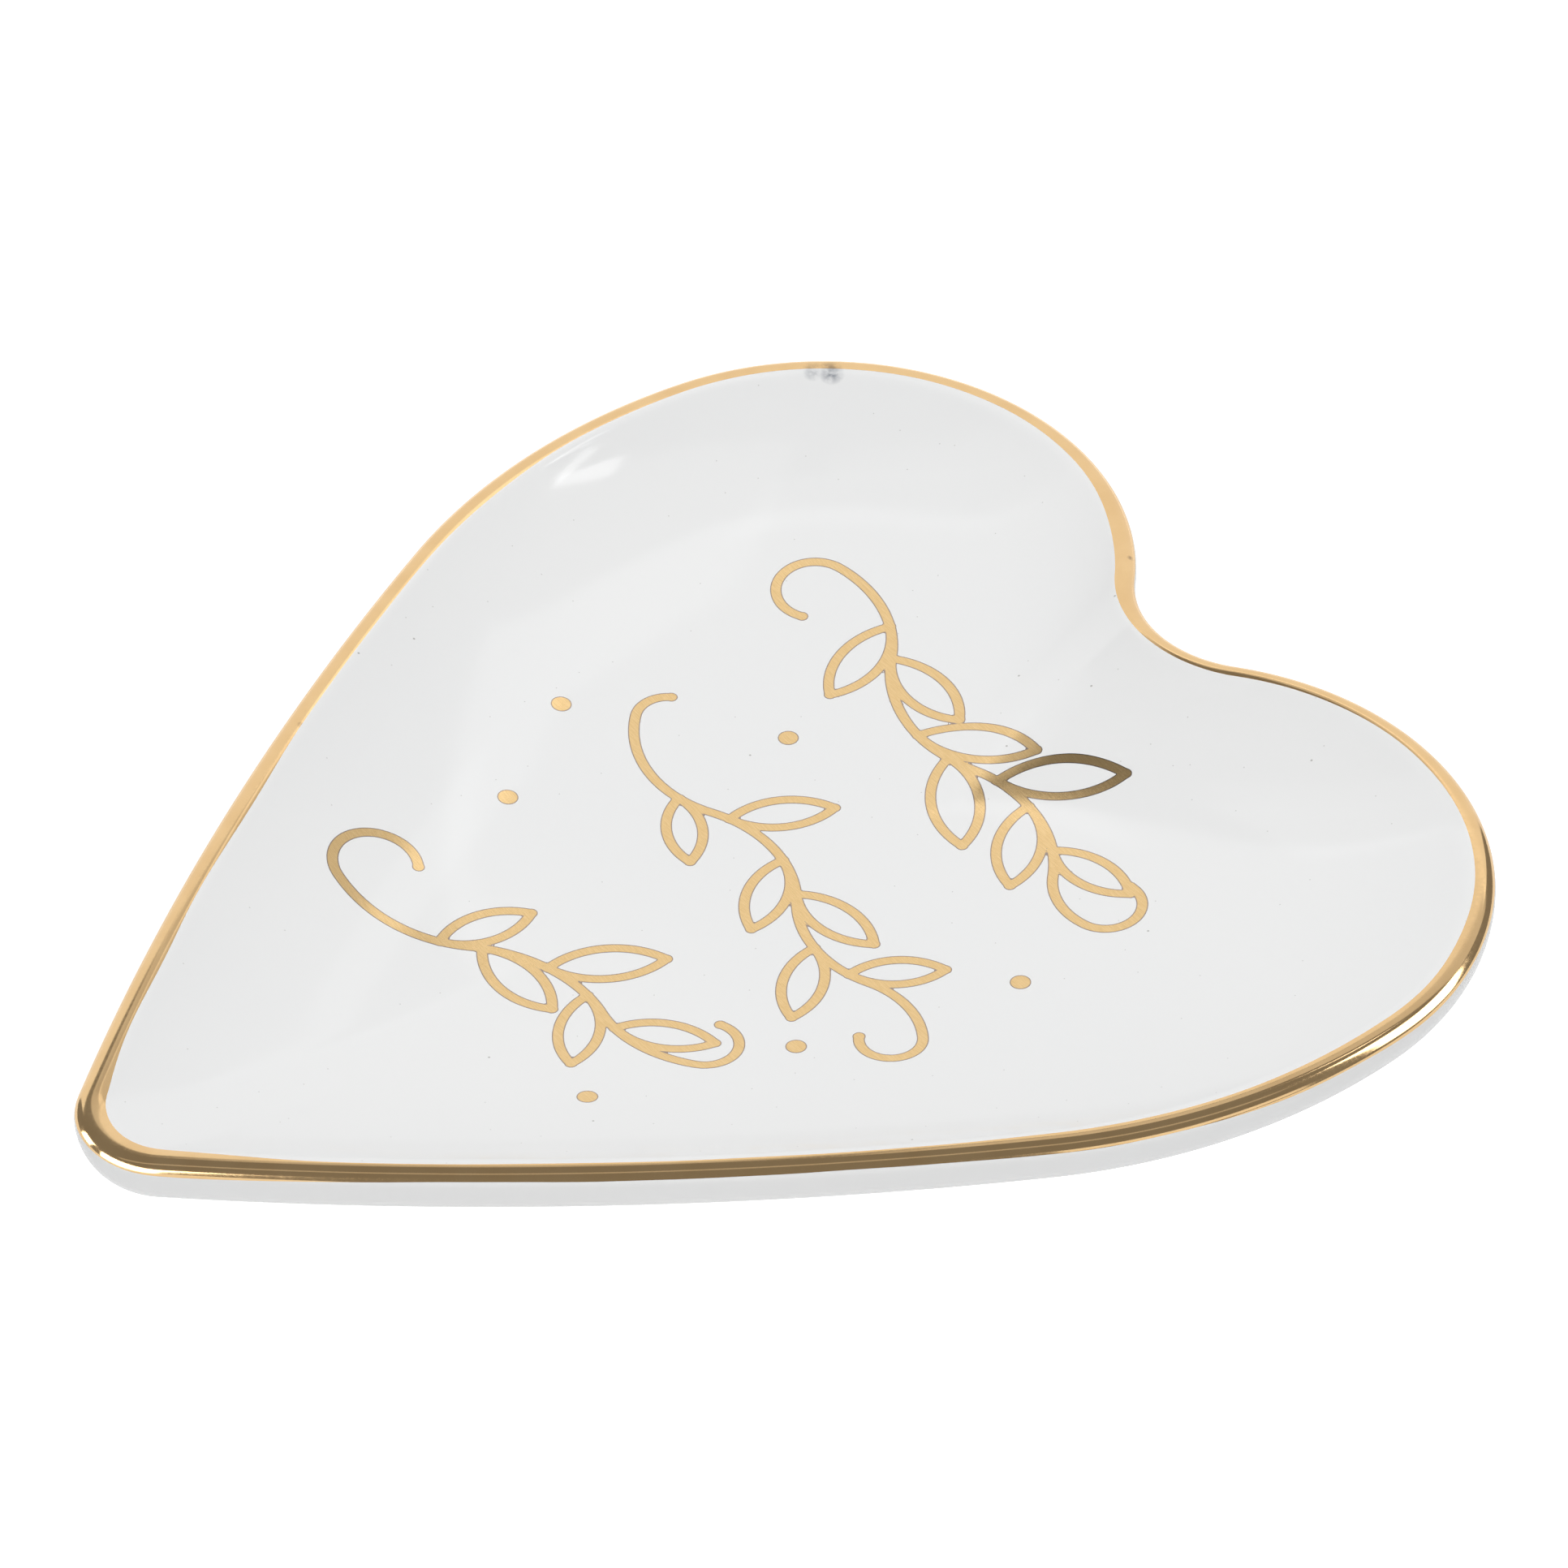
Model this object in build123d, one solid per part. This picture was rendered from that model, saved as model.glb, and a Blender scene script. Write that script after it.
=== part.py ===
from build123d import *

import math
import os

# Heart-shaped porcelain trinket dish. Millimetres; +Z up; +Y towards the cleft, -Y towards the tip.
# The origin is on the standing surface, under the middle of the dish's bounding box.

# ---- dish --------------------------------------------------------------------------------------
HEIGHT = 11.5              # standing surface to the crown of the lip
BOWL_DEPTH = 6.0           # crown of the lip to the lowest point of the glazed bowl
FLOOR_THICKNESS = 3.4      # body and both coats of glaze, at the middle of the bowl
LIP_RADIUS = 1.25          # the glazed, rounded lip in cross-section
WALL_RADIUS = 5.4          # outer wall, rolling under from the lip's widest line
WALL_TURN = 90.0           # degrees that the wall turns from upright before the underside takes over

GLAZE = 0.25               # thickness of the glaze
GOLD = 0.10                # thickness of the fired gold film

# the lip's centre line: tangent arcs down one side, as (radius, degrees turned, 1 for left or -1)
OUTLINE_ARCS = (
    (12.6, 41.2, 1),       # cleft
    (27.3, 123.5, -1),     # lobe
    (56.0, 34.7, -1),      # shoulder
    (324.0, 13.6, -1),     # flank
)

# bowl and underside are stacks of scaled outlines, each at a height that goes with a power of its scale
BOWL_CENTRE_Y = 10.0       # the copies shrink towards this point of the axis of symmetry
STEEPNESS = 4
BOWL_RISE = BOWL_DEPTH + 0.4    # at full scale the bowl passes over the lip, leaving a narrow flat crown
UNDERSIDE_RISE = 4.0            # at full scale the underside has come up this far
SECTION_SCALES = (1.12, 1.06, 1.0, 0.94, 0.87, 0.79, 0.70, 0.58, 0.42, 0.22)

FOOT_SCALE = 0.62          # the foot ring's outer edge, as a scaled outline
FOOT_WIDTH = 3.2
FOOT_ROUNDING = 0.7        # edges of the bare standing surface
GLAZE_LINE = 0.9           # the glaze on the foot ring stops this far up

# ---- gold rim ----------------------------------------------------------------------------------
BAND_INNER = 0.70          # reach inwards from the lip's centre line
BAND_OUTER_HEIGHT = 0.44   # lower edge on the outer side, above the lip's centre line

# ---- gold sprigs -------------------------------------------------------------------------------
STROKE = 1.05              # width of every line
LEAF_ANGLE = 42.0          # between a leaf and its stem
LEAF_BULGE = 0.19          # sagitta of each side of a leaf, as a share of its length
BERRY_RADIUS = 0.95

# start and heading of a stem, its tangent arcs as (radius, degrees turned, + to the left), and its
# leaves as (place along the stem from 0 to 1, 1 for left or -1 for right, length)
SPRIGS = {
    "gold_sprig_upper": {
        "start": (-25.5, 31.0),
        "heading": 215,
        "arcs": ((3.6, -200), (13, -58), (16, 66), (14, -66), (7, 60), (3.2, 175)),
        "leaves": (
            (0.28, -1, 10.5), (0.335, 1, 10.5), (0.475, 1, 11), (0.53, -1, 11.5), (0.60, 1, 11.5),
            (0.655, -1, 10.5), (0.735, 1, 9),
        ),
    },
    "gold_sprig_middle": {
        "start": (-23.5, 15.0),
        "heading": 230,
        "arcs": ((3, 85), (12, 75), (13, -66), (12, 62), (9, -60), (2.8, -190)),
        "leaves": (
            (0.25, -1, 8.5), (0.33, 1, 9.5), (0.44, -1, 9.5), (0.51, 1, 9.5), (0.62, -1, 9.5),
            (0.69, 1, 8.5),
        ),
    },
    "gold_sprig_lower": {
        "start": (-17.0, -17.0),
        "heading": 150,
        "arcs": ((3.8, 205), (15, 55), (14, -62), (13, 50), (3, 170)),
        "leaves": ((0.40, 1, 9), (0.46, -1, 10), (0.56, 1, 10.5), (0.64, -1, 9.5), (0.72, 1, 9)),
    },
}
BERRIES = ((-13.0, 20.5), (-28.0, 6.0), (25.5, 18.0), (-20.5, -5.0), (16.5, -22.0), (21.0, -3.0))

# ---- worked out --------------------------------------------------------------------------------
BODY_LIP_RADIUS = LIP_RADIUS - GLAZE
BODY_WALL_RADIUS = WALL_RADIUS - GLAZE
LIP_Z = HEIGHT - LIP_RADIUS
FLOOR_Z = HEIGHT - BOWL_DEPTH                  # glazed
UNDERSIDE_Z = FLOOR_Z - FLOOR_THICKNESS        # glazed
CORE_INSET = 5.0                               # where the swept edge gives way to a plain core
UP = (0, 0, 1)


def direction(degrees):
    return Vector(1, 0).rotate(Axis.Z, degrees)


def side_arcs(cleft_y, scale, grow):
    """Arcs down the +X side from the cleft to the tip, scaled and then grown outwards."""
    start, heading = Vector(0, cleft_y + grow), 0.0
    arcs = []
    for radius, turn, bend in OUTLINE_ARCS:
        arcs.append(JernArc(start, direction(heading), radius * scale - bend * grow, bend * turn))
        start, heading = arcs[-1] @ 1, heading + bend * turn
    # the tip's arc brings the line square to the axis of symmetry
    tip_radius = start.X / -math.sin(math.radians(heading))
    arcs.append(JernArc(start, direction(heading), tip_radius, -(180 + heading)))
    return arcs


def cleft_height():
    """Y of the cleft's lowest point that puts the outline's middle at Y = 0."""
    box = Wire(side_arcs(0, 1, 0)).bounding_box()
    return -(box.min.Y + box.max.Y) / 2


CLEFT_Y = cleft_height()


def outline(scale=1.0, grow=0.0):
    """The lip's centre line, scaled about the bowl's centre and then grown, at Z = 0."""
    cleft_y = BOWL_CENTRE_Y + (CLEFT_Y - BOWL_CENTRE_Y) * scale
    right = side_arcs(cleft_y, scale, grow)
    return Wire(right + [arc.mirror(Plane.YZ) for arc in right])


def heart(bottom, top, scale=1.0, grow=0.0):
    """Upright heart-shaped block."""
    return extrude(Pos(0, 0, bottom) * Face(outline(scale, grow)), top - bottom, dir=UP)


def bowl(middle_z, rise):
    """Everything above a bowl-shaped surface, up past the lip."""
    heights = [middle_z + rise * scale**STEEPNESS for scale in SECTION_SCALES]
    rings = [Pos(0, 0, z) * Face(outline(scale)) for scale, z in zip(SECTION_SCALES, heights)]
    return loft(rings) + heart(heights[0], HEIGHT + BOWL_DEPTH, SECTION_SCALES[0])


def above_floor(skin):
    """The air in the bowl, skin above the bare body."""
    return bowl(FLOOR_Z - GLAZE + skin, BOWL_RISE)


def above_underside(skin):
    """Everything above the underside, skin below the bare body."""
    return bowl(UNDERSIDE_Z + GLAZE - skin, UNDERSIDE_RISE)


def edge_section(skin):
    """Lip and wall, skin outside the bare body; X is outwards and Y is up from the lip's centre."""
    lip = BODY_LIP_RADIUS + skin
    with BuildSketch() as section:
        with BuildLine():
            top = Line((-CORE_INSET, lip), (0, lip))
            crown = JernArc(top @ 1, (1, 0), lip, -90)
            wall = JernArc(crown @ 1, (0, -1), BODY_WALL_RADIUS + skin, -WALL_TURN)
            corner = (-CORE_INSET, (wall @ 1).Y - 2)
            Line(wall @ 1, corner)
            Line(corner, top @ 0)
        make_face()
    return section.sketch


def along_lip(section):
    """A section carried round the lip's centre line."""
    across = Plane(origin=(0, CLEFT_Y, LIP_Z), x_dir=(0, 1, 0), z_dir=(1, 0, 0))
    return sweep(across * section, path=Pos(0, 0, LIP_Z) * outline())


def dish(skin):
    """The dish without its foot, skin outside the bare body on every side."""
    core = heart(0, LIP_Z + BODY_LIP_RADIUS + skin, grow=-CORE_INSET)
    block = along_lip(edge_section(skin)) + core
    return (block & above_underside(skin)) - above_floor(skin)


def foot_ring(skin):
    top = UNDERSIDE_Z + UNDERSIDE_RISE * FOOT_SCALE**STEEPNESS + FLOOR_THICKNESS / 2
    outside = heart(0, top, FOOT_SCALE, skin)
    inside = heart(0, top, FOOT_SCALE, -FOOT_WIDTH - skin)
    return outside - inside


def porcelain_body():
    ring = foot_ring(0)
    standing_edges = ring.faces().sort_by(Axis.Z)[0].edges()
    return dish(0) + fillet(standing_edges, FOOT_ROUNDING)


def glaze_coats(body):
    """Glaze over the dish and glaze in the foot's recess, parted by the bare standing surface."""
    bare = heart(0, GLAZE_LINE)
    coats = dish(GLAZE) + foot_ring(GLAZE) - body - bare
    recess, outside = coats.solids().sort_by(lambda coat: coat.volume)
    return outside, recess


def rim_gold_band():
    """Gold film over the lip, from a line in the bowl to one on the outer wall."""
    reach = 2 * LIP_RADIUS
    zone = Polyline(
        (-BAND_INNER, 0), (LIP_RADIUS / 2, BAND_OUTER_HEIGHT), (reach, BAND_OUTER_HEIGHT), (reach, reach),
        (-BAND_INNER, reach), close=True,
    )
    return (dish(GLAZE + GOLD) - dish(GLAZE)) & along_lip(Face(Wire(zone)))


def stroke(line):
    """A line of the pen with round ends."""
    ends = [Pos(*(line @ end)) * Circle(STROKE / 2) for end in (0, 1)]
    return trace(line, STROKE) + ends


def leaf(base, heading, length):
    """Outline of a pointed leaf: two arcs from its base to its point."""
    point = base + direction(heading) * length
    return [stroke(Wire(SagittaArc(base, point, side * LEAF_BULGE * length))) for side in (1, -1)]


def sprig(start, heading, arcs, leaves):
    """Pen strokes of one sprig: a stem of tangent arcs with leaves along it."""
    stem_arcs, at = [], Vector(*start)
    for radius, turn in arcs:
        stem_arcs.append(JernArc(at, direction(heading), radius, turn))
        at, heading = stem_arcs[-1] @ 1, heading + turn
    stem = Wire(stem_arcs)
    strokes = [stroke(stem)]
    for place, side, length in leaves:
        along = stem % place
        angle = math.degrees(math.atan2(along.Y, along.X)) + side * LEAF_ANGLE
        strokes += leaf(stem @ place, angle, length)
    return strokes


def gold_film(shapes):
    """Film of the given plan shapes on the glazed floor of the bowl."""
    plan = shapes[0].fuse(*shapes[1:])
    pillars = extrude(plan, HEIGHT, dir=UP)
    return (pillars & above_floor(GLAZE)) - above_floor(GLAZE + GOLD)


def write(name, shape):
    solids = shape.solids()
    shape = solids[0] if len(solids) == 1 else Compound(solids)
    export_step(shape, f"parts/{name}.step")
    print(f"{name}: {len(solids)} solid(s), {shape.volume:.1f} mm3")


def main():
    os.makedirs("parts", exist_ok=True)
    body = porcelain_body()
    write("porcelain_body", body)
    outside, recess = glaze_coats(body)
    write("glaze_coat", outside)
    write("foot_recess_glaze", recess)
    write("rim_gold_band", rim_gold_band())
    for name, design in SPRIGS.items():
        write(name, gold_film(sprig(**design)))
    write("gold_berries", gold_film([Pos(*place) * Circle(BERRY_RADIUS) for place in BERRIES]))


main()
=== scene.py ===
import math

import bpy
import numpy as np
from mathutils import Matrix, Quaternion, Vector


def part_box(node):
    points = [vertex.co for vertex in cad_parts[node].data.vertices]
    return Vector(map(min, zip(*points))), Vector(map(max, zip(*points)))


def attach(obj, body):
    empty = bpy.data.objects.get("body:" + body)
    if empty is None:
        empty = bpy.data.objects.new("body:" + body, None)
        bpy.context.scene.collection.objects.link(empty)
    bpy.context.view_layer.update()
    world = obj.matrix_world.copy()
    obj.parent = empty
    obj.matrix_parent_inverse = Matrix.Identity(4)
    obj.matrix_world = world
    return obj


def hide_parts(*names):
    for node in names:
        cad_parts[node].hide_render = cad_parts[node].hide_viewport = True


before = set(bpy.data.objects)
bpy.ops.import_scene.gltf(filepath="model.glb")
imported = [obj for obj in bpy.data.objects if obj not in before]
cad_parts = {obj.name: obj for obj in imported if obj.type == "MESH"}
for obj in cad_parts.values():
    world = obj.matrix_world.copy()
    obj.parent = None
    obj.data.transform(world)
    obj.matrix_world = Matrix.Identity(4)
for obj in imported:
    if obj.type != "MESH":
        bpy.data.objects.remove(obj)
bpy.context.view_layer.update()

# Looks of the heart-shaped porcelain trinket dish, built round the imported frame.
# Sizes are in millimetres until a mesh is made; MM turns them into metres.

MM = 0.001

# ---- sizes -------------------------------------------------------------------------------------
GLAZE = 0.25                 # thickness of the glaze
HIDDEN_GAP = 0.02            # keeps covered faces just off the faces that cover them
LIP_RADIUS = 1.25            # glazed lip in cross-section
WALL_RADIUS = 5.4            # outer wall under the lip
WALL_TURN = 62               # degrees that the wall turns before its rings spread over the underside
CAD_GOLD = 0.10              # thickness of the frame's gold film
FILM = 0.012                 # thickness of the gold shown here
BAND_BACK = -0.018           # hidden side of the rim's gold, just inside the glaze

# the right half of the outline from the cleft, as (radius, degrees turned)
OUTLINE_ARCS = ((12.6, 41.2), (27.3, -123.5), (56.0, -34.7), (324.0, -13.6))
BOWL_CENTRE_Y = 10.0
STEEPNESS = 4
BOWL_DEPTH = 6.0
BOWL_RISE = 6.4              # at full scale the bowl passes over the lip
FLOOR_THICKNESS = 3.4
UNDERSIDE_RISE = 4.0
FOOT_SCALE = 0.62
FOOT_WIDTH = 3.2
FOOT_ROUNDING = 0.7
FOOT_FILLET = 0.6            # between the foot and the underside
GLAZE_LINE = 1.02            # where the glaze ends above the bare foot
LIP_BLEND = 0.34             # rounds the meeting of bowl and lip
WALL_BLEND = 0.5             # rounds the meeting of wall and underside
ROUND = 512                  # points round each ring of the dish
GATHER = 1.4                 # power that gathers the underside's rings near the wall
CREASE = 50                  # degrees; edges that turn more than this are kept sharp

BAND_REACH = 0.58            # gold inwards of the lip's centre line
BAND_FALL = 1.40             # gold outwards of it, measured over the lip
SWELL_WIDTH = 0.022          # share of the way round that each swell fades over
# where the brush went further in or out: share of the way round from the cleft, how much further
REACH_SWELLS = (
    (0.15, 0.25), (0.19, 0.2), (0.30, -0.1), (0.33, -0.15), (0.37, -0.2), (0.41, -0.2),
    (0.445, -0.25), (0.478, 0.4), (0.508, 0.95), (0.56, 0.3), (0.62, 0.25), (0.75, 0.2),
    (0.96, 0.25),
)
FALL_SWELLS = ((0.18, 0.3), (0.22, 0.25), (0.27, 0.2), (0.45, 0.15), (0.48, 0.35))

STROKE = 1.05
STROKE_END = 1.16            # the pen leaves slightly wider ends
LEAF_ANGLE = 42.0
LEAF_BULGE = 0.19            # share of the leaf's length
BERRY_RADIUS = 0.95
INK_STEP = 0.3               # spacing of points along a stroke
INK_CELL = 0.2               # grid on which the decal's outline is found
INK_MARGIN = 2               # grid left free round the design
INK_REACH = 1.6              # how far round a stroke the grid is filled in
OUTSIDE_INK = -9.0           # depth of every point that no stroke is near

# stems as tangent arcs (radius, degrees turned); leaves as (share of the stem, side, length)
SPRIGS = {
    "gold_sprig_upper": {
        "start": (-25.5, 31.0),
        "heading": 215,
        "arcs": ((3.6, -200), (13, -58), (16, 66), (14, -66), (7, 60), (3.2, 175)),
        "leaves": (
            (0.28, -1, 10.5), (0.335, 1, 10.5), (0.475, 1, 11), (0.53, -1, 11.5), (0.60, 1, 11.5),
            (0.655, -1, 10.5), (0.735, 1, 9),
        ),
    },
    "gold_sprig_middle": {
        "start": (-23.5, 15.0),
        "heading": 230,
        "arcs": ((3, 85), (12, 75), (13, -66), (12, 62), (9, -60), (2.8, -190)),
        "leaves": (
            (0.25, -1, 8.5), (0.33, 1, 9.5), (0.44, -1, 9.5), (0.51, 1, 9.5), (0.62, -1, 9.5),
            (0.69, 1, 8.5),
        ),
    },
    "gold_sprig_lower": {
        "start": (-17.0, -17.0),
        "heading": 150,
        "arcs": ((3.8, 205), (15, 55), (14, -62), (13, 50), (3, 170)),
        "leaves": ((0.40, 1, 9), (0.46, -1, 10), (0.56, 1, 10.5), (0.64, -1, 9.5), (0.72, 1, 9)),
    },
}
BERRIES = ((-13.0, 20.5), (-28.0, 6.0), (25.5, 18.0), (-20.5, -5.0), (16.5, -22.0), (21.0, -3.0))

# ---- heights from the frame --------------------------------------------------------------------
CROWN_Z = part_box("glaze_coat")[1].z / MM
LIP_Z = CROWN_Z - LIP_RADIUS
FLOOR_Z = CROWN_Z - BOWL_DEPTH
UNDERSIDE_Z = FLOOR_Z - FLOOR_THICKNESS
HALF_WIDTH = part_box("rim_gold_band")[1].x / MM - LIP_RADIUS - CAD_GOLD     # to the lip's centre line


# ---- plan shapes -------------------------------------------------------------------------------
def walk(start, heading, arcs, step):
    """Points along tangent arcs, about step apart, and the heading in radians at each."""
    x, y = start
    angle = math.radians(heading)
    points, headings = [(x, y)], [angle]
    for radius, turn in arcs:
        side = math.copysign(1.0, turn)
        turn = math.radians(turn)
        centre_x = x - side * radius * math.sin(angle)
        centre_y = y + side * radius * math.cos(angle)
        count = max(2, math.ceil(abs(turn) * radius / step))
        for i in range(1, count + 1):
            now = angle + turn * i / count
            x = centre_x + side * radius * math.sin(now)
            y = centre_y - side * radius * math.cos(now)
            points.append((x, y))
            headings.append(now)
        angle += turn
    return np.array(points), np.array(headings)


def along(points):
    """Distance of each point from the first, along the line."""
    return np.concatenate([[0.0], np.cumsum(np.hypot(*np.diff(points, axis=0).T))])


def lip_line(count):
    """Evenly spaced points of the lip's centre line, from the cleft, and their outward normals."""
    turned = sum(turn for _, turn in OUTLINE_ARCS)
    open_end, _ = walk((0, 0), 0, OUTLINE_ARCS, 0.1)
    tip_radius = open_end[-1, 0] / -math.sin(math.radians(turned))
    arcs = OUTLINE_ARCS + ((tip_radius, -(180 + turned)),)
    points, headings = walk((0, 0), 0, arcs, 0.02)
    points *= HALF_WIDTH / points[:, 0].max()
    points[:, 1] -= (points[:, 1].min() + points[:, 1].max()) / 2
    travelled = along(points)
    half = count // 2
    wanted = np.linspace(0, travelled[-1], half + 1)
    right = np.column_stack([np.interp(wanted, travelled, points[:, i]) for i in (0, 1)])
    facing = np.interp(wanted, travelled, headings)
    outward = np.column_stack([-np.sin(facing), np.cos(facing)])
    mirror = np.array([-1, 1])
    line = np.vstack([right, right[-2:0:-1] * mirror])
    normals = np.vstack([outward, outward[-2:0:-1] * mirror])
    return line, normals


LINE, NORMALS = lip_line(ROUND)
CENTRE = np.array([0.0, BOWL_CENTRE_Y])
FINE_LINE, _ = lip_line(8 * ROUND)
FINE_ANGLES = np.arctan2(*(FINE_LINE - CENTRE).T[::-1])
FINE_REACH = np.hypot(*(FINE_LINE - CENTRE).T)
FINE_ORDER = np.argsort(FINE_ANGLES)


def share(xy):
    """How far out a plan point is from the bowl's centre: 1 on the lip's centre line."""
    offset = xy - CENTRE
    angle = np.arctan2(offset[..., 1], offset[..., 0])
    reach = np.interp(angle, FINE_ANGLES[FINE_ORDER], FINE_REACH[FINE_ORDER], period=2 * math.pi)
    return np.hypot(offset[..., 0], offset[..., 1]) / reach


def inset_of(xy):
    """Distance inwards from the lip's centre line."""
    gaps = xy[:, None, :] - FINE_LINE[None, ::2, :]
    return np.sqrt((gaps**2).sum(-1).min(1))


def floor_height(xy):
    """Glazed surface of the bowl."""
    return FLOOR_Z + BOWL_RISE * share(xy) ** STEEPNESS


def underside_height(xy):
    """Glazed surface under the dish."""
    return UNDERSIDE_Z + UNDERSIDE_RISE * share(xy) ** STEEPNESS


def plan_ring(scale, grow):
    """The lip's centre line scaled about the bowl's centre and then grown outwards."""
    return CENTRE + scale * (LINE - CENTRE) + grow * NORMALS


# ---- rings of the dish -------------------------------------------------------------------------
def lower_of(a, b, blend):
    """The smaller of two heights, rounded where they cross."""
    mix = np.clip(0.5 + 0.5 * (b - a) / blend, 0, 1)
    return b * (1 - mix) + a * mix - blend * mix * (1 - mix)


def higher_of(a, b, blend):
    return -lower_of(-a, -b, blend)


def lip_ring(travel, skin):
    """Ring at a distance from the crown over the lip, negative inwards, skin above the glaze."""
    radius = LIP_RADIUS + skin
    travel = np.broadcast_to(travel, (ROUND,))
    angle = np.clip(travel, 0, None) / LIP_RADIUS
    grow = np.where(travel < 0, travel, radius * np.sin(angle))
    xy = CENTRE + (LINE - CENTRE) + grow[:, None] * NORMALS
    crown = LIP_Z + radius * np.cos(angle)
    z = lower_of(crown, floor_height(xy) + skin, LIP_BLEND)
    return np.column_stack([xy, z])


def bowl_rings(skin):
    """From near the middle of the bowl out to just inside the lip."""
    rings = []
    edge = 0.93
    for scale in np.linspace(0.03, edge, 34):
        xy = plan_ring(scale, 0)
        rings.append(np.column_stack([xy, floor_height(xy) + skin]))
    for part in np.linspace(0.2, 1, 5):
        xy = plan_ring(edge + (1 - edge) * part, -1.8 * part)
        z = lower_of(np.full(ROUND, LIP_Z + LIP_RADIUS + skin), floor_height(xy) + skin, LIP_BLEND)
        rings.append(np.column_stack([xy, z]))
    return rings


def lip_rings(skin):
    """Over the lip, from inside it to its outermost line."""
    inward = np.linspace(-1.6, -0.1, 12)
    outward = np.linspace(0, LIP_RADIUS * math.pi / 2, 16)
    return [lip_ring(travel, skin) for travel in np.concatenate([inward, outward])]


def wall_height(inset, skin):
    """Outer wall's height at a distance inwards from the lip's centre line."""
    radius = WALL_RADIUS + skin
    across = np.clip((inset + LIP_RADIUS + skin) / radius, 0, 1)
    return LIP_Z - radius * np.sqrt(1 - (1 - across) ** 2)


def wall_rings(skin):
    """Outer wall and underside, from under the lip to beside the foot."""
    rings = []
    radius = WALL_RADIUS + skin
    for turn in np.radians(np.linspace(0, WALL_TURN, 15)[1:]):
        xy = plan_ring(1, LIP_RADIUS + skin - radius * (1 - math.cos(turn)))
        rings.append(np.column_stack([xy, np.full(ROUND, LIP_Z - radius * math.sin(turn))]))
    start = LIP_RADIUS + skin - radius * (1 - math.cos(turn))
    for part in np.linspace(0, 1, 26)[1:]:
        scale = 1 + (FOOT_SCALE - 1) * part**GATHER
        xy = plan_ring(scale, start * (1 - part) + (FOOT_FILLET + skin) * part)
        wall = wall_height(inset_of(xy), skin)
        rings.append(np.column_stack([xy, higher_of(wall, underside_height(xy) - skin, WALL_BLEND)]))
    return rings


def foot_side_rings(skin, inner):
    """Down one side of the foot ring, from the underside to the glaze line."""
    rings = []
    side = -1 if inner else 1
    face = -FOOT_WIDTH - skin if inner else skin
    for turn in np.linspace(0, math.pi / 2, 6):
        xy = plan_ring(FOOT_SCALE, face + side * FOOT_FILLET * (1 - math.sin(turn)))
        root = underside_height(plan_ring(FOOT_SCALE, face)) - skin
        rings.append(np.column_stack([xy, root - FOOT_FILLET * (1 - math.cos(turn))]))
    xy = plan_ring(FOOT_SCALE, face)
    rings.append(np.column_stack([xy, np.full(ROUND, GLAZE_LINE)]))
    return rings


def recess_rings(skin):
    """Underside inside the foot ring, from the foot inwards."""
    rings = []
    grow = -FOOT_WIDTH - skin - FOOT_FILLET
    for part in np.linspace(1, 0.04, 16)[1:]:
        xy = plan_ring(FOOT_SCALE * part, grow * part)
        rings.append(np.column_stack([xy, underside_height(xy) - skin]))
    return rings


def standing_rings(skin):
    """Bare part of the foot: down its outside, across and up its inside."""
    rings = []
    for face, side in ((skin, 1), (-FOOT_WIDTH - skin, -1)):
        arc = []
        for turn in np.linspace(0, math.pi / 2, 6):
            grow = face - side * FOOT_ROUNDING * (1 - math.cos(turn))
            xy = plan_ring(FOOT_SCALE, grow)
            arc.append(np.column_stack([xy, np.full(ROUND, FOOT_ROUNDING * (1 - math.sin(turn)))]))
        rings += arc if side > 0 else arc[::-1]
    return rings


# ---- meshes ------------------------------------------------------------------------------------
def make_object(name, vertices, faces):
    """Smooth-shaded object from millimetres, with its creases kept sharp."""
    mesh = bpy.data.meshes.new(name)
    mesh.from_pydata([tuple(v) for v in np.asarray(vertices) * MM], [], faces)
    mesh.update()
    mesh.polygons.foreach_set("use_smooth", [True] * len(mesh.polygons))
    mesh.set_sharp_from_angle(angle=math.radians(CREASE))
    made = bpy.data.objects.new(name, mesh)
    bpy.context.scene.collection.objects.link(made)
    return made


def skin_rings(name, rings, poles=(None, None)):
    """Closed surface through rings, ending in poles, or joined end to end where there are none."""
    vertices = np.vstack(rings)
    faces = []
    last = len(rings) - 1
    pairs = [(i, i + 1) for i in range(last)]
    if poles == (None, None):
        pairs.append((last, 0))
    for a, b in pairs:
        for i in range(ROUND):
            j = (i + 1) % ROUND
            faces.append((a * ROUND + i, a * ROUND + j, b * ROUND + j, b * ROUND + i))
    extra = []
    for end, point in zip((0, last), poles):
        if point is None:
            continue
        index = len(vertices) + len(extra)
        extra.append(point)
        for i in range(ROUND):
            j = (i + 1) % ROUND
            corner = (end * ROUND + j, end * ROUND + i, index)
            faces.append(corner if end == 0 else corner[::-1])
    if extra:
        vertices = np.vstack([vertices, extra])
    return make_object(name, vertices, faces)


def pole(z):
    return (CENTRE[0], CENTRE[1], z)


def outside_rings(skin):
    """Bowl, lip, wall, underside and outer side of the foot."""
    foot_side = foot_side_rings(skin, inner=False)[1:]
    return bowl_rings(skin) + lip_rings(skin) + wall_rings(skin) + foot_side


def make_glaze():
    """Glaze down to the foot; its hidden side needs only every second ring."""
    outer = outside_rings(0)
    back = outside_rings(-GLAZE)[::-2]
    return skin_rings("glaze_skin", outer + back, (pole(FLOOR_Z), pole(FLOOR_Z - GLAZE)))


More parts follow.
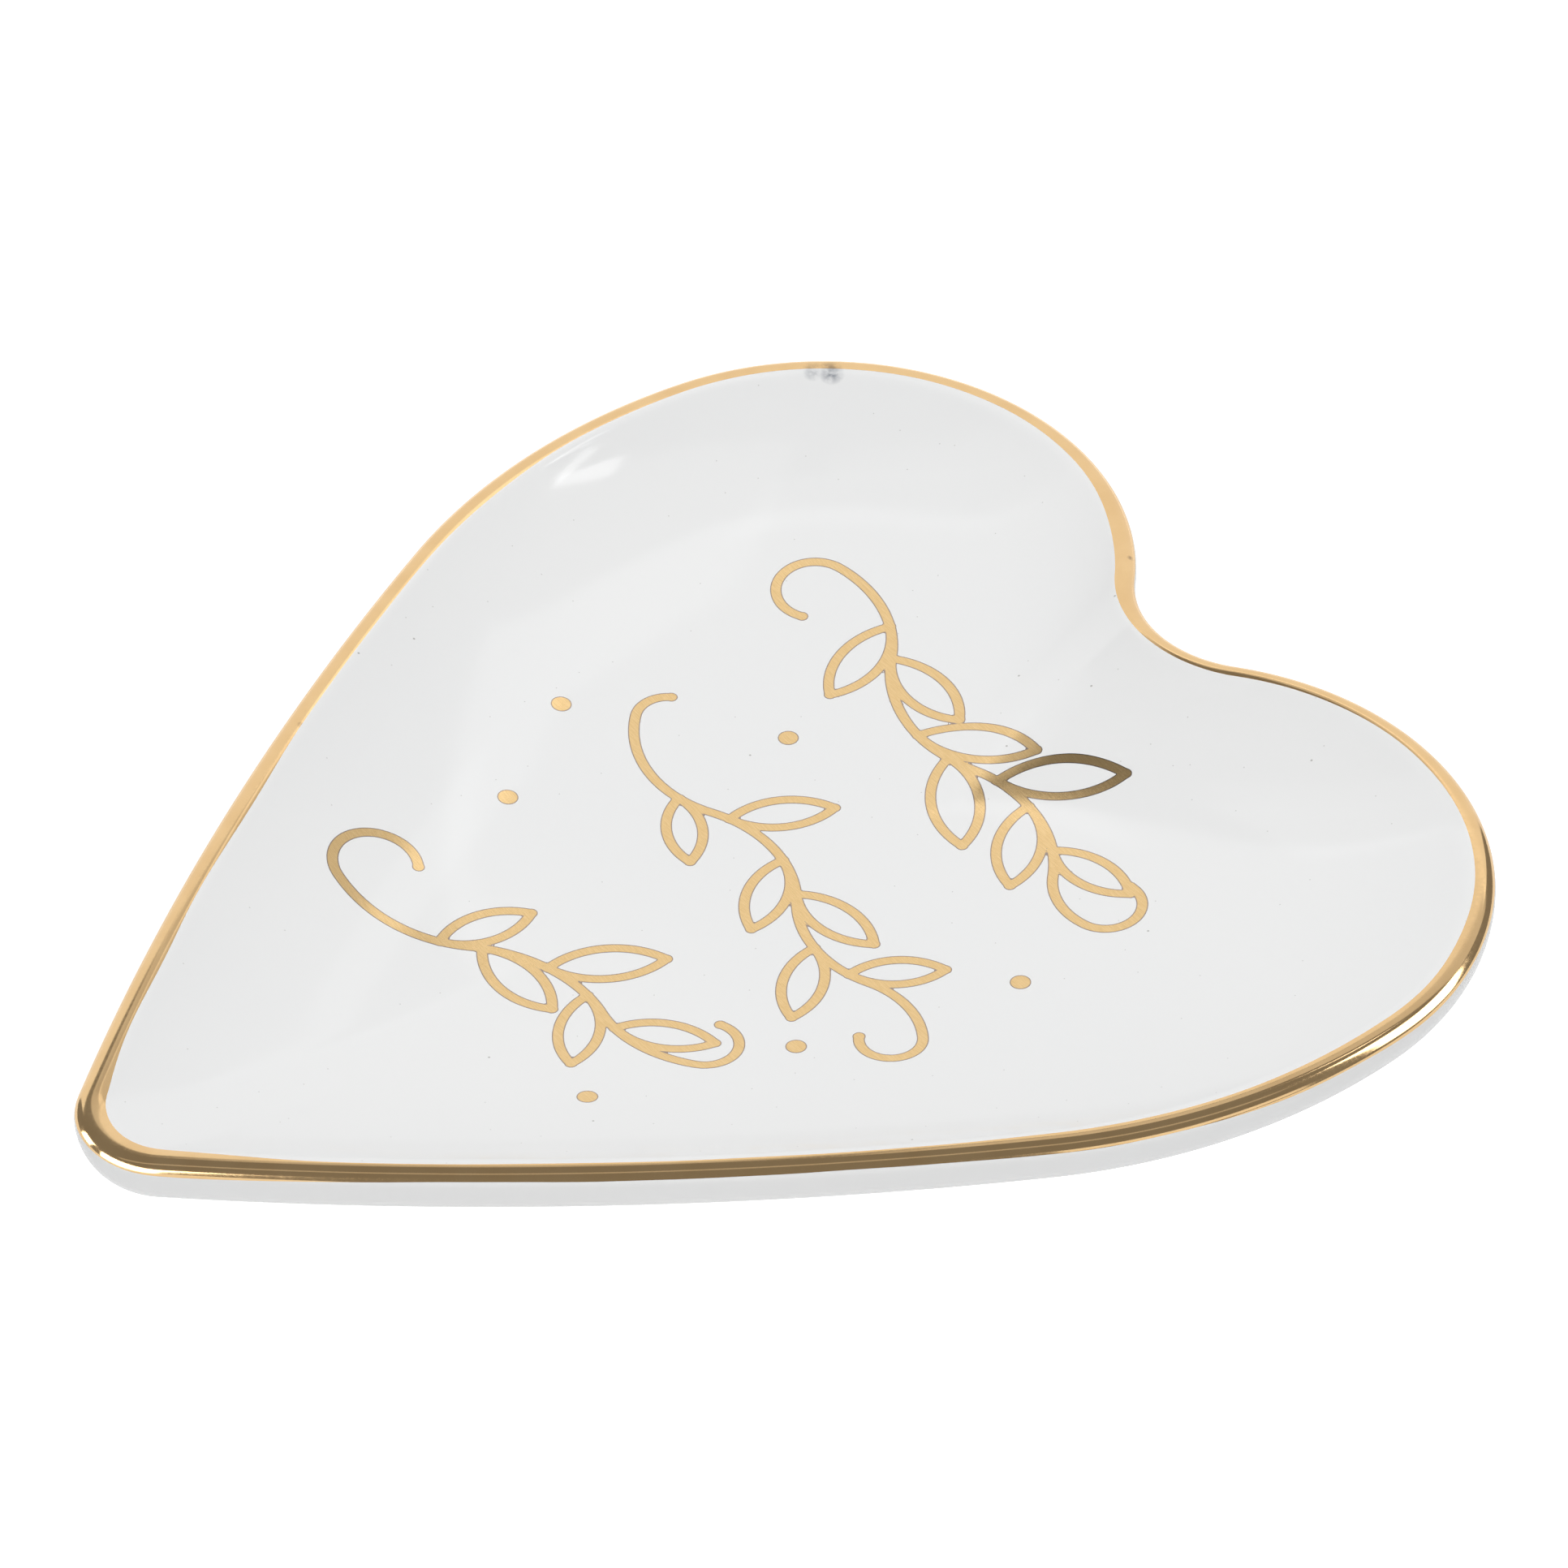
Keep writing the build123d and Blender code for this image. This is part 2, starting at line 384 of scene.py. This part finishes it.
def make_recess_glaze():
    outer = foot_side_rings(0, inner=True)[::-1] + recess_rings(0)
    back = (foot_side_rings(-GLAZE, inner=True)[::-1] + recess_rings(-GLAZE))[::-1]
    ends = (pole(UNDERSIDE_Z + GLAZE), pole(UNDERSIDE_Z))
    return skin_rings("recess_glaze_skin", back + outer, ends)


def make_body():
    skin = -GLAZE - HIDDEN_GAP
    rings = outside_rings(skin) + standing_rings(-GLAZE)
    rings += foot_side_rings(skin, inner=True)[::-1] + recess_rings(skin)
    return skin_rings("bisque_body", rings, (pole(FLOOR_Z + skin), pole(UNDERSIDE_Z - skin)))


def wobble(seed, size, waves):
    """A smooth closed variation round the rim, seeded."""
    rng = np.random.default_rng(seed)
    around = np.linspace(0, 2 * math.pi, ROUND, endpoint=False)
    total = np.zeros(ROUND)
    for wave in waves:
        height = rng.uniform(0.5, 1) / math.sqrt(wave)
        total += height * np.sin(wave * around + rng.uniform(0, 2 * math.pi))
    return size * total / np.abs(total).max()


def swell(places):
    """Smooth bumps round the rim, one at each place, of the height given with it."""
    around = np.linspace(0, 1, ROUND, endpoint=False)
    total = np.zeros(ROUND)
    for place, height in places:
        gap = np.abs(around - place)
        total += height * np.exp(-((np.minimum(gap, 1 - gap) / SWELL_WIDTH) ** 2))
    return total


def make_band():
    """Gold lustre brushed over the lip: a thin film with slightly wavering edges."""
    inner = -BAND_REACH - swell(REACH_SWELLS) + wobble(3, 0.06, (2, 5, 9, 17, 31))
    outer = BAND_FALL + swell(FALL_SWELLS) + wobble(8, 0.07, (3, 7, 13, 23, 41))
    rings, back = [], []
    for part in np.linspace(0, 1, 24):
        travel = inner + (outer - inner) * part
        rings.append(lip_ring(travel, FILM))
        back.append(lip_ring(travel, BAND_BACK))
    return skin_rings("rim_gold_film", rings + back[::-1])


# ---- decal -------------------------------------------------------------------------------------
def leaf_lines(base, heading, length):
    """Two mirrored arcs from a leaf's base to its point."""
    half = length / 2
    sagitta = LEAF_BULGE * length
    radius = (half**2 + sagitta**2) / (2 * sagitta)
    turn = math.degrees(math.asin(half / radius))
    lines = []
    for side in (1, -1):
        line, _ = walk(base, heading + side * turn, ((radius, -side * 2 * turn),), INK_STEP)
        lines.append(line)
    return lines


def sprig_lines(start, heading, arcs, leaves):
    """A stem and its outlined leaves."""
    stem, headings = walk(start, heading, arcs, INK_STEP)
    travelled = along(stem)
    lines = [stem]
    for place, side, length in leaves:
        at = place * travelled[-1]
        base = [np.interp(at, travelled, stem[:, i]) for i in (0, 1)]
        facing = math.degrees(np.interp(at, travelled, headings))
        lines += leaf_lines(base, facing + side * LEAF_ANGLE, length)
    return lines


def ink_depth(lines, dots):
    """Grid of how deep each point is inside the ink, in mm, and the grid's low corner."""
    everything = np.vstack([*lines, *[np.array([d[:2]]) for d in dots]])
    low = everything.min(0) - INK_MARGIN
    shape = np.ceil((everything.max(0) + INK_MARGIN - low) / INK_CELL).astype(int) + 1
    depth = np.full(shape, OUTSIDE_INK)
    reach = int(INK_REACH / INK_CELL) + 1

    def stamp(a, b, radius):
        first = np.maximum(((np.minimum(a, b) - low) / INK_CELL).astype(int) - reach, 0)
        last = np.minimum(((np.maximum(a, b) - low) / INK_CELL).astype(int) + reach + 1, shape)
        ticks = [low[i] + INK_CELL * np.arange(first[i], last[i]) for i in (0, 1)]
        gx, gy = np.meshgrid(*ticks, indexing="ij")
        run = b - a
        size = max(run @ run, 1e-12)
        part = np.clip(((gx - a[0]) * run[0] + (gy - a[1]) * run[1]) / size, 0, 1)
        distance = np.hypot(gx - a[0] - part * run[0], gy - a[1] - part * run[1])
        window = depth[first[0]:last[0], first[1]:last[1]]
        np.maximum(window, radius - distance, out=window)

    for line in lines:
        for a, b in zip(line[:-1], line[1:]):
            stamp(a, b, STROKE / 2)
        for end in (line[0], line[-1]):
            stamp(end, end, STROKE_END / 2)
    for x, y, radius in dots:
        centre = np.array([x, y])
        stamp(centre, centre, radius)
    return depth, low


def ink_outline(depth, low):
    """Plan points, their depths in the ink, and the faces they make, cut where the depth is zero."""
    plan, depths, known, cells = [], [], {}, []

    def keep(key, place, value):
        if key not in known:
            known[key] = len(plan)
            plan.append(low + INK_CELL * place)
            depths.append(value)
        return known[key]

    def corner(p):
        return keep(p, np.array(p), depth[p])

    def crossing(p, q):
        p, q = min(p, q), max(p, q)
        part = depth[p] / (depth[p] - depth[q])
        return keep((p, q), np.array(p) + part * (np.array(q) - np.array(p)), 0.0)

    inside = depth > 0
    touched = inside[:-1, :-1] | inside[1:, :-1] | inside[1:, 1:] | inside[:-1, 1:]
    for i, j in zip(*np.nonzero(touched)):
        loop = [(i, j), (i + 1, j), (i + 1, j + 1), (i, j + 1)]
        face = []
        for p, q in zip(loop, loop[1:] + loop[:1]):
            if inside[p]:
                face.append(corner(p))
            if inside[p] != inside[q]:
                face.append(crossing(p, q))
        if len(face) > 2:
            cells.append(tuple(face))
    return np.array(plan), np.array(depths), cells


def ink_object(name, lines, dots=()):
    """Thin film on the bowl, which carries each point's depth in the ink for its material."""
    plan, depths, cells = ink_outline(*ink_depth(lines, dots))
    floor = floor_height(plan)
    count = len(plan)
    vertices = np.vstack([
        np.column_stack([plan, floor + FILM]),
        np.column_stack([plan, floor - HIDDEN_GAP]),
    ])
    edges = dict.fromkeys(edge for face in cells for edge in zip(face, face[1:] + face[:1]))
    rim = [(a, b) for a, b in edges if (b, a) not in edges]
    faces = cells + [tuple(v + count for v in face[::-1]) for face in cells]
    faces += [(b, a, a + count, b + count) for a, b in rim]
    made = make_object(name, vertices, faces)
    layer = made.data.attributes.new("ink_depth", "FLOAT", "POINT")
    layer.data.foreach_set("value", np.concatenate([depths, depths]).astype(np.float32))
    return made


# ---- materials ---------------------------------------------------------------------------------
class Nodes:
    """Short way to write a node material."""

    def __init__(self, name):
        self.material = bpy.data.materials.new(name)
        self.material.use_nodes = True
        self.tree = self.material.node_tree
        self.shader = self.tree.nodes["Principled BSDF"]
        self.place = self.add("ShaderNodeTexCoord").outputs["Object"]

    def add(self, kind, **values):
        node = self.tree.nodes.new(kind)
        for key, value in values.items():
            if hasattr(node, key):
                setattr(node, key, value)
            else:
                node.inputs[key.replace("_", " ")].default_value = value
        return node

    def link(self, source, target):
        self.tree.links.new(source, target)

    def set(self, **values):
        """Values for the shader's own inputs."""
        for key, value in values.items():
            self.shader.inputs[key.replace("_", " ")].default_value = value

    def noise(self, scale, detail, stretch=None, turn=0.0):
        """Noise in the row's own frame; scale is in bumps for each metre."""
        source = self.place
        if stretch:
            rotation = (0, 0, math.radians(turn))
            mapping = self.add("ShaderNodeMapping", Scale=stretch, Rotation=rotation)
            self.link(source, mapping.inputs["Vector"])
            source = mapping.outputs["Vector"]
        node = self.add("ShaderNodeTexNoise", Scale=scale, Detail=detail)
        self.link(source, node.inputs["Vector"])
        return node.outputs["Fac"]

    def specks(self, cells_per_metre, radius, share_shown, strength):
        """Small round spots scattered over what faces up."""
        cells = self.add("ShaderNodeTexVoronoi", voronoi_dimensions="2D", Scale=cells_per_metre)
        self.link(self.place, cells.inputs["Vector"])
        size = radius * cells_per_metre
        spot = self.remap(cells.outputs["Distance"], 0.7 * size, 1.3 * size, strength, 0)
        split = self.add("ShaderNodeSeparateColor")
        self.link(cells.outputs["Color"], split.inputs["Color"])
        shown = self.remap(split.outputs["Red"], share_shown - 0.001, share_shown, 1, 0)
        facing = self.add("ShaderNodeSeparateXYZ")
        self.link(self.add("ShaderNodeNewGeometry").outputs["Normal"], facing.inputs["Vector"])
        upward = self.remap(facing.outputs["Z"], 0.75, 0.85, 0, 1)
        return self.times(self.times(spot, shown), upward)

    def marks(self, places):
        """Blotches round places on the surface, each with its radius in mm and its strength."""
        total = None
        for x, y, z, radius, strength in places:
            gap = self.add("ShaderNodeVectorMath", operation="DISTANCE")
            gap.inputs[1].default_value = (x * MM, y * MM, z * MM)
            self.link(self.place, gap.inputs[0])
            spot = self.remap(gap.outputs["Value"], 0.3 * radius * MM, radius * MM, strength, 0)
            total = self.combine("MAXIMUM", total, spot) if total else spot
        return self.times(total, self.remap(self.noise(1500, 3), 0.35, 0.6, 0.3, 1))

    def combine(self, operation, first, second):
        node = self.add("ShaderNodeMath", operation=operation)
        self.link(first, node.inputs[0])
        self.link(second, node.inputs[1])
        return node.outputs[0]

    def times(self, first, second):
        return self.combine("MULTIPLY", first, second)

    def remap(self, value, low, high, to_low, to_high):
        """Straight-line change from one range to another, held at its ends."""
        ranges = {"From_Min": low, "From_Max": high, "To_Min": to_low, "To_Max": to_high}
        node = self.add("ShaderNodeMapRange", **ranges)
        self.link(value, node.inputs["Value"])
        return node.outputs["Result"]

    def mix(self, part, first, second):
        """Colour between two colours or sockets."""
        node = self.add("ShaderNodeMix", data_type="RGBA")
        self.link(part, node.inputs[0])
        for colour, socket in ((first, node.inputs[6]), (second, node.inputs[7])):
            if isinstance(colour, tuple):
                socket.default_value = (*colour, 1)
            else:
                self.link(colour, socket)
        return node.outputs[2]

    def bump(self, height, distance, strength, under=None):
        node = self.add("ShaderNodeBump", Strength=strength, Distance=distance)
        self.link(height, node.inputs["Height"])
        if under:
            self.link(under, node.inputs["Normal"])
        return node.outputs["Normal"]


# iron specks in the glaze: cells for each metre, radius in metres, share of cells with one, how dark
SPECKS = ((150, 0.00010, 0.06, 0.75), (260, 0.00006, 0.30, 0.45))
# a grey smudge at the far side of the rim, over glaze and gold, and two worn nicks in the gold,
# as (x, y, z, radius, strength), in millimetres
GLAZE_MARKS = ((-47.0, 49.8, 11.2, 1.3, 0.75), (-48.1, 48.4, 11.2, 1.0, 0.5))
GOLD_MARKS = (
    (-47.4, 49.9, 11.4, 1.3, 0.6), (-48.5, 48.7, 11.4, 1.0, 0.4), (-34.3, -17.8, 11.3, 0.5, 0.8),
    (-9.7, 56.4, 11.2, 0.4, 0.7),
)
SPECK_COLOUR = (0.34, 0.33, 0.31)
SMUDGE_COLOUR = (0.16, 0.18, 0.22)
WORN_COLOUR = (0.12, 0.10, 0.09)
INK_EDGE_COLOUR = (0.36, 0.29, 0.25)


def glaze_material():
    """White porcelain under a clear glaze, with faint waviness and a few dark specks."""
    m = Nodes("white_glaze")
    m.set(Roughness=0.055, IOR=1.5)
    tint = m.remap(m.noise(22, 2), 0.3, 0.7, 0, 1)
    white = m.mix(tint, (0.80, 0.805, 0.805), (0.815, 0.818, 0.815))
    for kind in SPECKS:
        white = m.mix(m.specks(*kind), white, SPECK_COLOUR)
    white = m.mix(m.marks(GLAZE_MARKS), white, SMUDGE_COLOUR)
    m.link(white, m.shader.inputs["Base Color"])
    waves = m.bump(m.noise(120, 2), 0.000008, 0.5)
    fine = m.bump(m.noise(1400, 2), 0.000001, 0.3, waves)
    m.link(fine, m.shader.inputs["Normal"])
    return m.material


def bisque_material():
    """Bare fired porcelain: matt, a little warm, fine grain."""
    m = Nodes("bare_bisque")
    m.set(Roughness=0.75, IOR=1.45)
    grain = m.noise(2600, 4)
    colour = m.mix(m.remap(grain, 0.35, 0.65, 0, 1), (0.62, 0.60, 0.565), (0.72, 0.70, 0.67))
    m.link(colour, m.shader.inputs["Base Color"])
    m.link(m.bump(grain, 0.00004, 0.6), m.shader.inputs["Normal"])
    return m.material


def rim_gold_material():
    """Bright gold lustre, uneven where it was brushed on."""
    m = Nodes("rim_gold_lustre")
    m.set(Metallic=1.0)
    cloud = m.noise(260, 4)
    fine = m.noise(2600, 3)
    colour = m.mix(m.remap(cloud, 0.35, 0.65, 0, 1), (0.80, 0.54, 0.27), (0.84, 0.58, 0.30))
    colour = m.mix(m.marks(GOLD_MARKS), colour, WORN_COLOUR)
    m.link(colour, m.shader.inputs["Base Color"])
    m.link(m.remap(fine, 0.3, 0.7, 0.09, 0.14), m.shader.inputs["Roughness"])
    slow = m.bump(cloud, 0.000004, 0.5)
    m.link(m.bump(fine, 0.000001, 0.4, slow), m.shader.inputs["Normal"])
    return m.material


def decal_gold_material():
    """Fired gold transfer: satin, fine streaks, and a thin darker line at its edge."""
    m = Nodes("decal_gold")
    m.set(Metallic=1.0)
    streaks = m.noise(900, 3, stretch=(1, 9, 1), turn=38)
    fine = m.noise(5200, 2)
    warm = m.mix(m.remap(streaks, 0.3, 0.7, 0, 1), (0.77, 0.53, 0.25), (0.85, 0.61, 0.31))
    depth = m.add("ShaderNodeAttribute", attribute_name="ink_depth").outputs["Fac"]
    edge = m.remap(depth, 0.05, 0.13, 1, 0)
    colour = m.mix(edge, warm, INK_EDGE_COLOUR)
    m.link(colour, m.shader.inputs["Base Color"])
    m.link(m.remap(fine, 0.3, 0.7, 0.10, 0.15), m.shader.inputs["Roughness"])
    m.link(m.bump(streaks, 0.000002, 0.5), m.shader.inputs["Normal"])
    return m.material


# ---- pieces ------------------------------------------------------------------------------------
def place_piece(piece, node, material):
    piece.data.materials.append(material)
    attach(piece, "root")
    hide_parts(node)


glaze = glaze_material()
place_piece(make_body(), "porcelain_body", bisque_material())
place_piece(make_glaze(), "glaze_coat", glaze)
place_piece(make_recess_glaze(), "foot_recess_glaze", glaze)
place_piece(make_band(), "rim_gold_band", rim_gold_material())
decal_gold = decal_gold_material()
for node_name, design in SPRIGS.items():
    sprig = ink_object(node_name + "_ink", sprig_lines(**design))
    place_piece(sprig, node_name, decal_gold)
berry_dots = [(x, y, BERRY_RADIUS) for x, y in BERRIES]
place_piece(ink_object("gold_berries_ink", [], berry_dots), "gold_berries", decal_gold)


# ---- floor, camera and light -------------------------------------------------------------------
VIEW_AZIMUTH, VIEW_ELEVATION = 54.42, 41.64
VIEW_DISTANCE = 0.9202
FOCAL_LENGTH = 236.9
AIM = Vector((0, 0.02249, LIP_Z * MM))
SIDEWAYS, UPWARDS = -0.00957, -0.00142
# name, half its width, height, brightness and whether the camera sees it, or else the dish does
FLOORS = (("sheet", 0.2, 0.0, 0.45, False), ("white_floor", 3.0, -0.0002, 1.0, True))


def view_axes(azimuth, elevation):
    """Unit vectors towards the camera, to its right and up, for a place round the dish."""
    a, e = math.radians(azimuth), math.radians(elevation)
    back = Vector((math.sin(a) * math.cos(e), -math.cos(a) * math.cos(e), math.sin(e)))
    right = Vector((math.cos(a), math.sin(a), 0))
    return back, right, back.cross(right)


def make_camera():
    back, right, up = view_axes(VIEW_AZIMUTH, VIEW_ELEVATION)
    data = bpy.data.cameras.new("camera")
    data.lens = FOCAL_LENGTH
    data.sensor_width = 36
    data.clip_start = 0.05
    camera = bpy.data.objects.new("camera", data)
    camera.location = AIM + back * VIEW_DISTANCE + right * SIDEWAYS + up * UPWARDS
    camera.rotation_mode = "QUATERNION"
    camera.rotation_quaternion = (-back).to_track_quat("-Z", "Y")
    bpy.context.scene.collection.objects.link(camera)
    bpy.context.scene.camera = camera


def make_floor():
    """White sheet that lights the dish, and the plain white that the camera sees in its place."""
    for name, size, height, brightness, seen in FLOORS:
        plan = ((-size, -size), (size, -size), (size, size), (-size, size))
        corners = np.array([(x, y, height) for x, y in plan]) / MM
        floor = make_object(name, corners, [(0, 1, 2, 3)])
        m = Nodes(name)
        m.set(Roughness=0.9, Base_Color=(0.5, 0.5, 0.5, 1))
        m.set(Emission_Color=(1, 1, 1, 1), Emission_Strength=brightness)
        floor.data.materials.append(m.material)
        floor.visible_camera = seen
        floor.visible_diffuse = floor.visible_glossy = floor.visible_shadow = not seen


def softbox(name, turn, elevation, size, radiance, seen, roll=0, distance=1.5, upright=False):
    """Area light that faces the dish, or stands upright.

    turn is degrees to the camera's right of straight behind the dish; size is width and height in
    metres; seen says whether the light falls on matt surfaces or shows in glossy ones.
    """
    back, _, _ = view_axes(VIEW_AZIMUTH + 180 - turn, elevation)
    facing, _, _ = view_axes(VIEW_AZIMUTH + 180 - turn, 0 if upright else elevation)
    data = bpy.data.lights.new(name, "AREA")
    data.shape = "RECTANGLE"
    data.size, data.size_y = size
    data.energy = radiance * math.pi * size[0] * size[1]
    lamp = bpy.data.objects.new(name, data)
    lamp.location = back * distance
    rolled = Quaternion((0, 0, 1), math.radians(roll))
    lamp.rotation_mode = "QUATERNION"
    lamp.rotation_quaternion = facing.to_track_quat("Z", "Y") @ rolled
    lamp.visible_diffuse = seen == "matt"
    lamp.visible_glossy = seen == "gloss"
    bpy.context.scene.collection.objects.link(lamp)


def make_light():
    world = bpy.data.worlds.new("studio")
    world.use_nodes = True
    world.node_tree.nodes["Background"].inputs["Color"].default_value = (0.25, 0.25, 0.25, 1)
    bpy.context.scene.world = world
    # white paper standing close behind the dish, and dimmer pieces beside it and above it
    softbox("white_card", -2.9, 28.3, (0.327, 0.14), 0.75, "gloss", distance=0.148, upright=True)
    softbox("side_card", 38, 46, (0.26, 0.10), 0.45, "gloss", roll=30, distance=0.325)
    softbox("card_top", -8.0, 49.5, (0.073, 0.034), 0.42, "gloss", distance=0.205, upright=True)
    softbox("card_corner", -10.7, 54.5, (0.07, 0.03), 0.30, "gloss", distance=0.231, upright=True)
    # broad light from behind and from over the camera
    softbox("back_fill", 0, 22, (2.6, 1.5), 0.95, "matt", distance=1.6)
    softbox("fill", 180, 68, (2.2, 2.2), 2.25, "matt", distance=1.8)
    # what the gold shows round the studio
    softbox("front_strip", 180, 70, (2.4, 0.22), 0.28, "gloss")
    softbox("right_box", 87, 28, (0.8, 1.2), 4.4, "gloss", roll=-22)
    softbox("left_box", -80, 13, (0.45, 0.75), 4.4, "gloss")
    softbox("left_low_box", -135, 13, (1.8, 0.9), 4.4, "gloss")
    softbox("low_right", 142, 9, (1.1, 0.45), 0.8, "gloss")
    # the arrow-shaped highlight in the far lobe
    softbox("chevron_long", 45.0, 59.8, (0.15, 0.05), 2.8, "gloss", roll=47)
    softbox("chevron_short", 50.6, 59.3, (0.10, 0.038), 2.6, "gloss", roll=-63)


make_camera()
make_floor()
make_light()
bpy.context.scene.view_settings.view_transform = "Standard"
